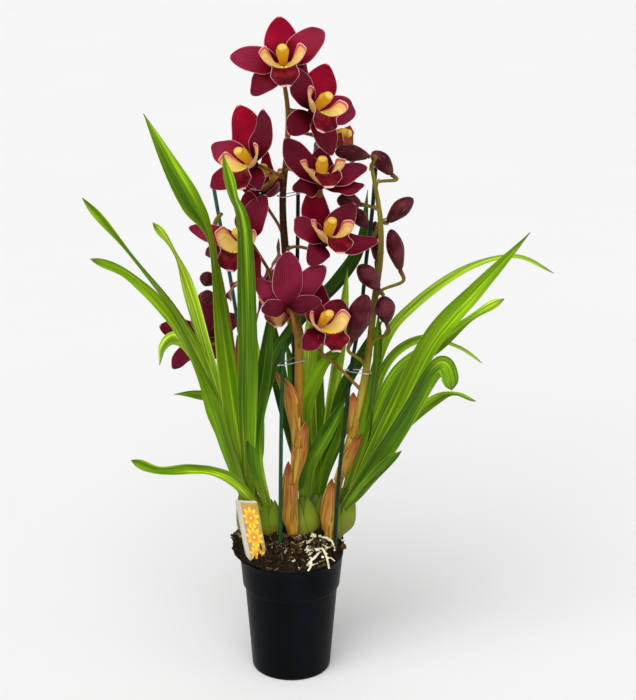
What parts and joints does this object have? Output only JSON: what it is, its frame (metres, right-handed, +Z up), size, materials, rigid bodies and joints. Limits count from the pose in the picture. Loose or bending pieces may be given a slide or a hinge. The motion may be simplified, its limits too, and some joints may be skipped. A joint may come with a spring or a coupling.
{
  "type": "potted orchid",
  "caption": "Potted Cymbidium orchid: tall flower spikes of dark red blooms and buds, strappy leaves, stakes and a plant label in a round tapered nursery pot.",
  "frame": {"origin": "centre of the flat underside of the pot", "axes": "+Z up, along the pot's axis and the flower stems; +X to the right and -Y towards the viewer in the picture"},
  "size_m": [0.5611, 0.2404, 0.8238],
  "materials": {
    "pot": "smooth semi-matt black plastic",
    "growing_medium": "dark brown bark and fibre with cream surface roots",
    "leaf": "smooth satin leaf, in place of plant tissue",
    "flower_stem": "smooth olive to golden brown stalk with papery orange-brown sheaths",
    "tepal": "waxy dark crimson petal with fine veins and a pale edge",
    "lip": "waxy yellow and cream lip with a dark red middle lobe",
    "bud": "waxy maroon bud with a greyish bloom",
    "stake": "dark green coated stake",
    "wire": "thin bare wire",
    "label": "thin printed plastic card"
  },
  "bodies": {
    "root": {"pot": "pot", "growing_medium": "growing_medium", "growth_left": "leaf", "growth_centre": "leaf", "growth_right": "leaf", "stem_centre": "flower_stem", "stem_right": "flower_stem", "stem_left": "flower_stem", "bloom_a1_tepals": "tepal", "bloom_a2_tepals": "tepal", "bloom_a3_tepals": "tepal", "bloom_a4_tepals": "tepal", "bloom_a5_tepals": "tepal", "bloom_a6_tepals": "tepal", "bloom_a7_tepals": "tepal", "bloom_a8_tepals": "tepal", "bloom_b8_tepals": "tepal", "bloom_c1_tepals": "tepal", "bloom_c2_tepals": "tepal", "bloom_c4_tepals": "tepal", "bloom_a1_lip": "lip", "bloom_a2_lip": "lip", "bloom_a3_lip": "lip", "bloom_a4_lip": "lip", "bloom_a5_lip": "lip", "bloom_a6_lip": "lip", "bloom_a7_lip": "lip", "bloom_a8_lip": "lip", "bloom_b8_lip": "lip", "bloom_c1_lip": "lip", "bloom_c2_lip": "lip", "bloom_c4_lip": "lip", "bud_b1": "bud", "bud_b2": "bud", "bud_b3": "bud", "bud_b4": "bud", "bud_b5": "bud", "bud_b6": "bud", "bud_b7": "bud", "bud_b8": "bud", "bud_b9": "bud", "bud_b10": "bud", "bud_c1": "bud", "bud_c2": "bud", "stake_front": "stake", "stake_back": "stake", "stake_right": "stake", "stake_left": "stake", "tie_centre_low": "wire", "tie_centre_high": "wire", "tie_right_low": "wire", "label": "label"}
  },
  "joints": []
}
